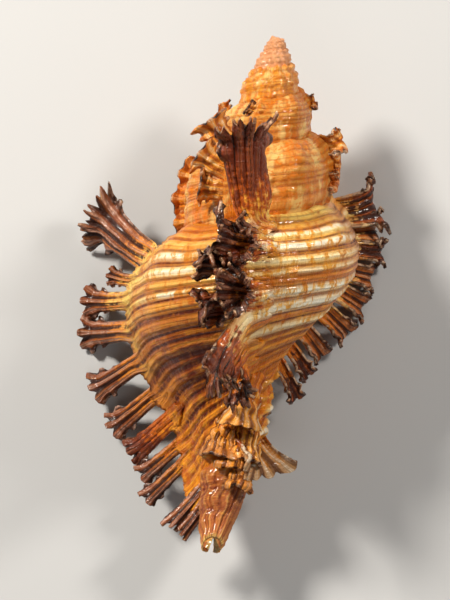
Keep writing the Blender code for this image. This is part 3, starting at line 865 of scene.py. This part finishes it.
def makeFronds(name, rows, materials, settings, seed):
    # a row: rib, level, length, width, tilt to the canal, lean forwards, flare, twist, digits, scorch, size
    s = settings
    mesh, along, across, which = sheets(s["rows"], s["columns"], len(rows))
    rib, level, length, width, tilt, lean, flare, twist, digits, scorch, size = np.array(rows)[which].T
    tilt, lean, twist = np.radians(tilt), np.radians(lean), np.radians(twist)
    made = np.random.default_rng(seed)
    digit, crest, own = partDigits(across, digits, which, made.uniform(0, 1, (len(rows), 8)))
    wobble = made.uniform(-1, 1, (len(rows), 4))[which]

    # how far out each point lies: the digits end at their own lengths
    frill = 0.5 + 0.5 * np.cos(math.pi * digits * s["frillsPerDigit"] * (across + 1) + 4 * own)
    reach = 1 - s["slit"] * (1 - crest**0.22) - s["ownLength"] * own - s["frill"] * frill
    a = along * (1 - (1 - reach) * ease(along, 0.7, 1.0))
    path, side, back = frondPath(rib, level, length, tilt, lean, twist, a)

    # gutter with lobed edges
    half = halfWidth(width, flare, a)
    teeth = np.abs(np.mod(a * s["lobes"] + wobble[:, 0] + 0.25 * (across > 0), 1) - 0.5) * 2
    lobed = ease(a, s["lobeFrom"] - 0.12, s["lobeFrom"] + 0.05)
    edgeLobe = ease(teeth, 0.25, 0.8) * np.abs(across) ** 6 * lobed
    half = half * (1 + s["lobeReach"] * edgeLobe)
    points, normal = gutterAlong(path, side, back, half, half * (s["depth"] + 0.3 * a), across)

    # ridges, scales, crumples, and the curled and knobbed ends
    digitWidth = width / digits
    ridge = s["ridge"] * digitWidth * ease(a, 0.12, 0.4) * (crest**0.6 - 0.5)
    fineRidge = 0.07 * np.cos(math.pi * digits * 3 * (across + 1)) * ease(a, 0.2, 0.4)
    saw = np.mod(a * s["scales"] + 0.35 * wobble[:, 1] + 0.5 * np.sin(digit * 2.3), 1)
    scales = s["scaleHeight"] * saw**2.5 * (0.3 + 0.7 * crest) * ease(a, 0.1, 0.35)
    curl = s["curl"] * half * ease(a, 0.78, 1.0) ** 1.5 * (0.3 + 1.2 * own)
    knob = crest * bump(along, 0.93, 0.05) + (frill - 0.5) * ease(along, 0.86, 1.0)
    crumple = waves(a * 360 + which * 77, across * 60 + which * 31, 21, 130, 70) * ease(a, 0.3, 0.6)
    raised = ridge + fineRidge + scales + curl + s["knob"] * digitWidth * knob + s["crumple"] * crumple
    points = points + normal * (raised + 0.35 * half * edgeLobe)[:, None]
    digitMiddle = (digit + 0.5) / digits * 2 - 1
    spread = s["spread"] * half * ease(a, 0.8, 1.0) * digitMiddle
    pinch = -0.06 * (across - digitMiddle) * half * ease(a, 0.82, 1.0)
    points = points + side * (spread + pinch)[:, None]
    sweep = 0.04 * wobble[:, 2] - s["sweep"] * np.clip(tilt / 0.7, 0, 1)
    points = points + down * (length * sweep * a**2.5)[:, None]

    ground, rootTurn, rootLevel = frondRoot(s, rib, level, width, size, a, across, crest)
    share = ease(a, 0.10, 0.44)[:, None]
    place(mesh, ground * (1 - share) + points * share)
    looks = shellLooks(np.minimum(rootTurn, rib - 1.5), rootLevel)
    looks.update(along=a, crest=crest, edge=np.abs(across), across=across, scorch=scorch)
    looks.update(shift=which * 7.3 + 4 * wobble[:, 3], late=0.10 * wobble[:, 3])
    addValues(mesh, looks)
    tidyMesh(mesh, 0)
    return addPiece(name, mesh, materials, s["wall"])


def frondRows(rib, fronds, size=1.0):
    return [(rib, level, length * size, width * size, *rest, size) for level, length, width, *rest in fronds]


# level, length, width, tilt, lean, flare, twist, digits, scorch
shoulderFrond = ((35.0, 13.2, 5.6, -30, 18, 1.45, 14, 4, 0.9),)
lipFronds = (
    (37.8, 5.4, 2.0, -8, 22, 1.2, 0, 3, 0.2), (40.6, 9.2, 2.8, 4, 22, 1.4, 0, 3, 0.5),
    (44.8, 10.6, 3.2, 8, 24, 1.4, 0, 3, 0.6), (48.6, 11.6, 3.2, 34, 22, 1.3, 0, 3, 0.5),
    (52.6, 12.6, 3.0, 42, 20, 1.3, 0, 3, 0.4), (56.2, 11.6, 2.5, 46, 14, 1.3, 0, 3, 0.3),
    (59.6, 11.0, 2.3, 48, 8, 1.3, 0, 2, 0.2), (62.6, 10.4, 2.1, 50, 4, 1.3, 0, 2, 0.2),
)
tallFan = ((33.2, 17.4, 5.2, -75, 7, 1.6, 34, 6, 0.9),)
centreFronds = (
    (36.2, 7.6, 4.8, -10, 38, 1.8, 10, 5, 0.9), (39.4, 8.0, 2.6, 0, 66, 1.7, 10, 3, 0.5),
    (43.2, 7.0, 5.0, -2, 34, 1.9, 0, 5, 0.9), (45.4, 7.8, 3.4, 12, 61, 1.3, 0, 4, 1.0),
    (47.6, 12.4, 4.2, 58, 22, 1.9, 26, 5, 0.0), (52.4, 7.4, 3.0, 62, 14, 1.5, 20, 4, 0.4),
    (55.2, 7.0, 3.2, 58, -30, 1.9, 10, 4, 0.1), (35.2, 5.0, 2.6, -40, 28, 1.6, 20, 3, 1.0),
    (37.4, 5.6, 2.4, 16, 44, 1.6, -20, 3, 0.8), (36.4, 4.6, 2.8, -12, -16, 1.7, 0, 3, 0.8),
    (42.0, 5.2, 2.4, -34, 32, 1.6, 0, 3, 0.9), (44.6, 5.4, 2.6, 30, 28, 1.6, 10, 3, 1.0),
    (43.4, 4.4, 2.8, 4, -18, 1.8, 0, 3, 0.8),
)
rightFronds = (
    (34.6, 6.4, 5.0, -26, -12, 1.5, 0, 5, 0.0), (37.6, 6.0, 3.2, -12, -18, 1.4, 0, 3, 0.1),
    (41.2, 6.4, 2.8, -2, -20, 1.3, 0, 3, 0.2), (45.4, 6.6, 2.6, 6, -20, 1.3, 0, 3, 0.1),
    (48.8, 7.6, 2.6, 22, -18, 1.3, 0, 3, 0.2), (52.2, 8.4, 2.6, 36, -16, 1.3, 0, 3, 0.3),
    (56.2, 7.6, 2.4, 46, -12, 1.2, 0, 2, 0.3), (60.0, 7.2, 2.4, 52, -10, 1.2, 0, 2, 0.2),
    (63.6, 7.2, 2.2, 60, -6, 1.2, 0, 2, 0.1),
)
spireFronds = {
    -345: (
        (35.4, 5.6, 6.0, -14, 10, 1.2, 0, 3, 0), (39.8, 5.2, 6.0, 0, 10, 1.2, 0, 3, 0),
        (44.6, 5.0, 5.4, 10, 10, 1.2, 0, 3, 0),
    ),
    -436: (
        (34.0, 12.0, 6.4, -52, 50, 1.2, 0, 3, 0.4), (38.4, 9.0, 6.2, -30, 58, 1.2, 0, 3, 0.3),
        (43.0, 7.0, 5.8, -6, 56, 1.2, 0, 3, 0),
    ),
    -556: (
        (34.8, 6.2, 5.2, -32, 6, 1.1, 0, 2, 0), (39.6, 2.8, 6.0, -2, 6, 1.0, 0, 3, 0),
        (44.4, 2.6, 5.6, 6, 6, 1.0, 0, 3, 0),
    ),
    -706: ((35.0, 7.0, 6.2, -30, 12, 1.2, 0, 2, 0), (40.0, 4.2, 5.6, -6, 10, 1.1, 0, 2, 0)),
    -805: ((36.0, 2.8, 5.0, -30, 60, 1.0, 0, 2, 0),),
    -925: ((36.0, 3.6, 5.4, -20, 6, 1.0, 0, 2, 0),),
    -1045: ((36.5, 6.0, 5.0, -30, -46, 1.1, 0, 2, 0),),
}

blade = dict(
    frondShape, rows=88, columns=72, sweep=0.06, depth=0.40, slit=0.07, ridge=0.16, crumple=0.22,
    frill=0.07, knob=0.30, curl=0.75, scaleHeight=0.12, scales=19,
)
slender = dict(frondShape, rows=76, sweep=0.10, depth=0.42, slit=0.08, ridge=0.24)
fan = dict(
    frondShape, rows=92, columns=84, slit=0.11, ownLength=0.08, ridge=0.38, crumple=0.26, frill=0.05,
    knob=0.38, curl=0.50, scaleHeight=0.14, scales=22, spread=0.04, lobes=7.0, lobeReach=0.14,
)
crumpled = dict(
    frondShape, rows=66, columns=42, slit=0.14, ownLength=0.12, crumple=0.35, curl=0.7, spread=0.04,
    lobes=7.0, lobeReach=0.14, frill=0.06,
)
short = dict(frondShape, rows=64, columns=36, curl=0.4)
horns = dict(
    frondShape, rows=54, columns=28, wall=0.4, slit=0.05, ownLength=0.06, ridge=0.12, crumple=0.3, curl=0.5,
)
spireRows = [row for rib, fronds in spireFronds.items() for row in frondRows(rib, fronds, sizeAt(rib))]

makeFronds("lipFronds", frondRows(0, lipFronds), leftSkins, slender, 4)
makeFronds("shoulderFrond", frondRows(0, shoulderFrond), leftSkins, blade, 6)
makeFronds("tallFan", frondRows(-100, tallFan), scorchedSkins, fan, 7)
makeFronds("centreFronds", frondRows(-100, centreFronds), scorchedSkins, crumpled, 7)
makeFronds("rightFronds", frondRows(-220, rightFronds), rightSkins, short, 9)
makeFronds("spireFronds", spireRows, spireSkins, horns, 5)
print("fronds made")

# siphonal canal
canal = {
    "profile": (
        (44.0, 3.4), (50.0, 4.2), (58.0, 4.2), (63.0, 3.8),
        (66.0, 3.5), (70.0, 2.8), (72.5, 2.2), (74.6, 1.65),
    ),
    "rows": 170,
    "columns": 160,
    "rim": 0.06,  # share of the rows that round the open end
    "bore": 0.86,
    "slit": 0.34,
    "tipSlit": 0.30,
    "notch": 0.5,
    "lumps": 1.5,
    "ridges": ((0.07, 11, 0.5, 2.5), (0.08, 27, 0.7, 5)),  # height, number, slant and waver
}


def canalLooks(angle, depth, tip, outside, neck, ridges, lumps, uneven):
    # painted highlight on the tops of the lumps, paler and with white glints
    lumpHighlight = ease(lumps, 0.15, 0.7)
    # painted shade: the inside of the bore painted dark
    bore = (1 - outside) * ease(tip, 0.9, 0.6)
    plain = outside * (1 - neck)
    # painted shade in the hollows between the lumps
    hidden = ease(lumps, -0.15, -0.6)
    burnAndShade = (0.50 + 0.4 * ease(-uneven, -0.3, 0.4)) * outside
    return {
        "turn": np.degrees(angle) * 0.6 + depth * 1.5,
        "level": depth + 0.5 * angle,
        # paler on the ridge crests as a painted highlight, darker between the ridges as painted shade
        "pale": 0.9 * tip * outside + 0.75 * lumpHighlight + 0.45 * ease(ridges, 0.04, 0.13) * plain,
        "white": 0.9 * ease(lumps, 0.5, 0.9),
        "lineAndShade": 0.7 * ease(ridges, 0.02, -0.12) * outside * (1 - 0.8 * neck) + 0.85 * hidden + bore,
        "burnAndShade": burnAndShade * (1 - 0.85 * ease(depth, 70.5, 73.5)) * (1 - 0.9 * neck) + bore,
        "pink": 0.25 * plain,
        "amber": 0.9 - 0.7 * neck,
        "inside": 0,
        "older": 0,
    }


def makeCanal():
    # a tube slit along its far side: the sheet runs round the outside, over the slit's edge and back inside
    s = canal
    mesh, along, across, _ = sheets(s["rows"], s["columns"])
    depths, radii = np.array(s["profile"]).T
    depth = depths[0] + (depths[-1] - depths[0]) * np.clip(along / (1 - s["rim"]), 0, 1)
    tip = np.clip((along - (1 - s["rim"])) / s["rim"], 0, 1)
    outside = np.abs(across) > 0.5
    way = np.where(outside, np.sign(across) * (1 - np.abs(across)) * 2, across * 2)
    radius = np.interp(depth, depths, radii)
    bore = s["bore"] * (1 - 0.2 * ease(depth, 72, 60))
    slit = s["slit"] * ease(depth, 73, 68) + 0.02 + s["tipSlit"] * ease(depth, 73.2, 74.6)
    angle = way * (math.pi - np.arcsin(np.clip(slit / np.where(outside, radius, bore), 0, 1)))

    uneven = waves(depth * 12, angle * 9, 5, 60, 40)
    ridges = 0
    for height, number, slant, waver in s["ridges"]:
        ridges = ridges + height * np.cos(angle * number + depth * slant + waver * uneven)
    neck = ease(depth, 67, 62) * outside
    lumps = s["lumps"] * waves(depth + 0.6 * angle, angle * 4, 33, 3.4, 3.6) * neck
    wrinkles = 0.10 * np.mod(depth * 1.9 + 0.8 * np.sin(angle * 2) + 2 * uneven, 1) ** 2 + 0.22 * uneven
    raised = (ridges + wrinkles + lumps) * ease(np.pi - np.abs(angle), 0.2, 0.6)
    wall = np.where(outside, radius + raised, bore)
    middle = (radius + bore) / 2
    wall = middle + (wall - middle) * np.sqrt(np.clip(1 - tip**2, 0, 1))

    # the open end is cut square to the bend, with a notch at the slit
    power = coil["bendUpPower"]
    slope = coil["bendUp"] * power * bendShare(depth) ** (power - 1) / coil["bendLength"]
    lean = np.clip(slope, 0, 1.0) * ease(depth, 60, 72) * (0.9 + 0.6 * ease(depth, 70, 74))
    notch = s["notch"] * ease(depth, 72, 74.6) * bump(np.abs(angle), math.pi, 0.5)
    cutDepth = depth + 0.35 * tip - lean * wall * np.cos(angle) - notch
    place(mesh, bend(wall * np.sin(angle), cutDepth, wall * np.cos(angle)))
    addValues(mesh, canalLooks(angle, depth, tip, outside, neck, ridges, lumps, uneven))
    tidyMesh(mesh, weldGap, True)
    return addPiece("canal", mesh, [shellSkin])


makeCanal()

# fronds and scales of the canal and the neck above it
straightShape = dict(frondShape, wall=0.5, depth=0.5, firstAlong=0.35)
knobbly = dict(
    straightShape, rows=56, columns=40, firstAlong=0.10, ridge=0.05, crumple=0.75, scaleHeight=0.07,
    scales=5, slit=0.03,
)
fluted = dict(straightShape, ridge=0.22, firstAlong=0.28)
canalFronds = ((66.4, 8.2, 2.4, 51), (69.6, 5.0, 2.0, 54))  # depth, length, width, tilt
oldCanals = ((50, 62.0, 7.6, 6.6), (172, 53.0, 9.0, 4.2))  # azimuth, depth, length, width
# the rough little scales that carry the middle rib on down the canal: azimuth, depth, length, width
neckScales = (
    (4, 50.5, 7.0, 4.2), (-26, 56.8, 5.4, 3.4), (32, 56.4, 6.0, 3.6),
    (10, 58.8, 5.0, 2.8), (30, 62.0, 4.6, 2.6),
)


def makeStraightFronds(name, paths, materials, digits, curl, settings):
    # gutters along given paths: four points, the way they lie across, width, flare and scorch
    s = settings
    mesh, along, across, which = sheets(s["rows"], s["columns"], len(paths))
    corners = np.array([path[0] for path in paths])[which]
    way = np.array([path[1] for path in paths])[which]
    width, flare, scorch = np.array([path[2:] for path in paths])[which].T
    dice = np.random.default_rng(11).uniform(0, 1, (len(paths), 8))
    _, crest, own = partDigits(across, digits, which, dice)
    a = along * (1 - s["slit"] * (1 - crest**0.5 + 1.2 * own) * ease(along, 0.45, 1.0))
    path, run = guideCurve(*(corners[:, k] for k in range(4)), a)
    side, back = sideAndBack(run, way)
    half = halfWidth(width, flare, a)
    points, normal = gutterAlong(path, side, back, half, half * (s["depth"] + 0.3 * a), across)
    ridge = s["ridge"] * width / digits * ease(a, 0.1, 0.4) * (crest**0.6 - 0.5)
    fineRidge = 0.06 * np.cos(math.pi * digits * 3 * (across + 1))
    scales = s["scaleHeight"] * np.mod(a * s["scales"] + own, 1) ** 2.5
    crumple = s["crumple"] * waves(a * 360 + which * 77, across * 60, 21, 130, 70)
    raised = ridge + fineRidge + scales + crumple + curl * half * ease(a, 0.7, 1.0)
    place(mesh, points + normal * raised[:, None])
    looks = shellLooks(0 * a - 14, 60 + 4 * across)
    looks.update(along=s["firstAlong"] + 0.65 * a, crest=crest, edge=np.abs(across), across=across)
    looks.update(scorch=scorch, shift=which * 5.1, late=0.06 * np.sin(which * 2.4))
    addValues(mesh, looks)
    tidyMesh(mesh, 0)
    return addPiece(name, mesh, materials, s["wall"])


def canalFrondPaths():
    made = []
    for depth, length, width, tilt in canalFronds:
        out = np.array((-1, 0, 0.1)) / math.hypot(1, 0.1)
        aim = out * math.cos(math.radians(tilt)) + down * math.sin(math.radians(tilt))
        root = bend(-2.2, np.array(depth), 0.0)
        start = bend(-1.5, np.array(depth - 3), 1.8)
        corners = (start, root, root + aim * length * 0.6, root + aim * (length + 1.0))
        made.append((corners, down, width, 1.2, 0.2))
    return made


def oldCanalPaths():
    made = []
    for azimuth, depth, length, width in oldCanals:
        azimuth = math.radians(azimuth)
        out = np.array((math.sin(azimuth), 0, math.cos(azimuth)))
        forward = np.array((-math.cos(azimuth), 0, math.sin(azimuth)))
        aim = unit(out * 0.66 + down * 0.75)
        start = bend(out[0], np.array(depth - 3.0), out[2])
        corners = [start + aim * reach for reach in (0, 3, length * 0.7, length)]
        made.append((corners, forward, width, 1.6, 0.0))
    return made


def neckScalePaths():
    made = []
    for number, (azimuth, depth, length, width) in enumerate(neckScales):
        azimuth = math.radians(azimuth)
        radius = float(np.interp(depth, (50, 54, 57, 60, 64), (7.6, 5.9, 4.7, 4.1, 3.8)))
        spots = (
            (radius - 1.2, depth - 1.5),
            (radius + 0.5, depth + 0.5),
            (radius + 0.5, depth + 0.6 * length),
            (radius + 0.4 + 0.3 * (number % 3), depth + length),
        )
        corners = [bend(r * math.sin(azimuth), np.array(d), r * math.cos(azimuth)) for r, d in spots]
        way = (math.cos(azimuth), 0.0, -math.sin(azimuth))
        made.append((corners, way, width, 1.3 + 0.2 * (number % 2), 0.3 * (number % 3)))
    return made


makeStraightFronds("canalFronds", canalFrondPaths(), leftSkins, 3, 0.2, straightShape)
makeStraightFronds("oldCanals", oldCanalPaths(), [frondSkins["oldCanal"]], 5, 0.25, fluted)
makeStraightFronds("neckScales", neckScalePaths(), neckSkins, 4, 0.3, knobbly)

# inner lip, a smooth ridge along the far side of the mouth
innerLip = {
    "spots": (  # turn, distance from the axis, depth
        (12, 11.6, 33.0), (20, 9.0, 35.5), (28, 6.8, 40.0), (30, 5.2, 45.0), (26, 4.4, 50.0), (16, 3.8, 55.0),
    ),
    "radius": 0.95,
    "rows": 90,
    "columns": 28,
}


def makeInnerLip():
    s = innerLip
    mesh, along, across, _ = sheets(s["rows"], s["columns"])
    turn, distance, depth = np.array(s["spots"], float).T
    azimuth = azimuthOf(turn)
    guide = bend(distance * np.sin(azimuth), depth, distance * np.cos(azimuth))
    last = len(guide) - 1
    t = along * last * 0.9999
    path = throughPoints(guide, t, False)
    ahead, behind = np.clip(t + 0.05, 0, last - 0.001), np.clip(t - 0.05, 0, last - 0.001)
    run = unit(throughPoints(guide, ahead, False) - throughPoints(guide, behind, False))
    side = unit(np.cross(run, (0.0, 0.0, 1.0)))
    top = np.cross(side, run)
    size = s["radius"] * np.sqrt(np.clip(1 - (2 * along - 1) ** 6, 0.0, 1)) * (1 + 0.06 * np.sin(along * 40))
    angle = across * math.pi
    place(mesh, path + side * (size * np.sin(angle))[:, None] + top * (size * np.cos(angle))[:, None])
    plain = dict.fromkeys(("lineAndShade", "burnAndShade", "amber", "older"), 0)
    looks = dict(plain, turn=along * 90, level=40 + 2 * across, pale=1, white=0.3, pink=0.15, inside=1)
    addValues(mesh, looks)
    tidyMesh(mesh, weldGap, True)
    return addPiece("innerLip", mesh, [shellSkin])


makeInnerLip()
print("canal and inner lip made")

# floor, light and camera
studio = {
    "floorSize": 1.4,
    "floorTone": (190, 190, 190),
    "world": 0.10,
    "aim": (0, 0, 0.01),
    "lamps": {  # place, size, power and colour
        "keyLeft": ((-0.30, 0.22, 0.34), 0.10, 3.5, (1.0, 0.95, 0.87)),
        "keyRight": ((0.32, 0.20, 0.30), 0.09, 1.4, (1.0, 0.95, 0.88)),
        "front": ((0.02, -0.35, 0.40), 0.30, 0.35, (1, 1, 1)),
    },
    "distance": 0.7,
    "mmPerPixel": 0.147,
    "pictureHeight": 600,
    "pictureCentre": (225, 300),
    "apexPixel": (277, 37),
    "axisLean": 4.5,  # degrees that the shell's axis leans in the picture
}


def makeFloor():
    shape = bmesh.new()
    bmesh.ops.create_grid(shape, x_segments=2, y_segments=2, size=studio["floorSize"])
    mesh = meshOf("floor", shape)
    floor = addObject("floor", mesh)
    floor.location.z = cadLow.z - 0.0001
    n = Nodes("paleFloor")
    n.surface.inputs["Base Color"].default_value = tone(*studio["floorTone"])
    n.surface.inputs["Roughness"].default_value = 0.7
    mesh.materials.append(n.material)


def makeLights():
    for name, (spot, size, power, colour) in studio["lamps"].items():
        data = bpy.data.lights.new(name, "AREA")
        data.shape = "DISK"
        data.size = size
        data.energy = power
        data.color = colour
        lamp = addObject(name, data)
        turned = (Vector(studio["aim"]) - Vector(spot)).to_track_quat("-Z", "Y").to_matrix().to_4x4()
        lamp.matrix_world = Matrix.Translation(spot) @ turned
    world = bpy.data.worlds.new("studio")
    world.use_nodes = True
    world.node_tree.nodes["Background"].inputs["Color"].default_value = (1.0, 0.98, 0.95, 1)
    world.node_tree.nodes["Background"].inputs["Strength"].default_value = studio["world"]
    bpy.context.scene.world = world


def makeCamera():
    # the picture's plane is square to the shell's back, with the apex at its place in the photo
    data = bpy.data.cameras.new("camera")
    data.lens = 36 * studio["distance"] / (studio["pictureHeight"] * studio["mmPerPixel"] * mm)
    data.clip_start = 0.05
    data.clip_end = 20
    camera = addObject("camera", data)
    (middleX, middleY), (apexX, apexY) = studio["pictureCentre"], studio["apexPixel"]
    shift = Vector((middleX - apexX, apexY - middleY, 0)) * studio["mmPerPixel"] * mm
    leaned = Matrix.Rotation(math.radians(studio["axisLean"]), 4, "Z")
    camera.matrix_world = lieDown @ leaned @ Matrix.Translation(shift + Vector((0, 0, studio["distance"])))
    bpy.context.scene.camera = camera


makeFloor()
makeLights()
makeCamera()
bpy.context.view_layer.update()
bpy.context.scene.view_settings.view_transform = "Standard"
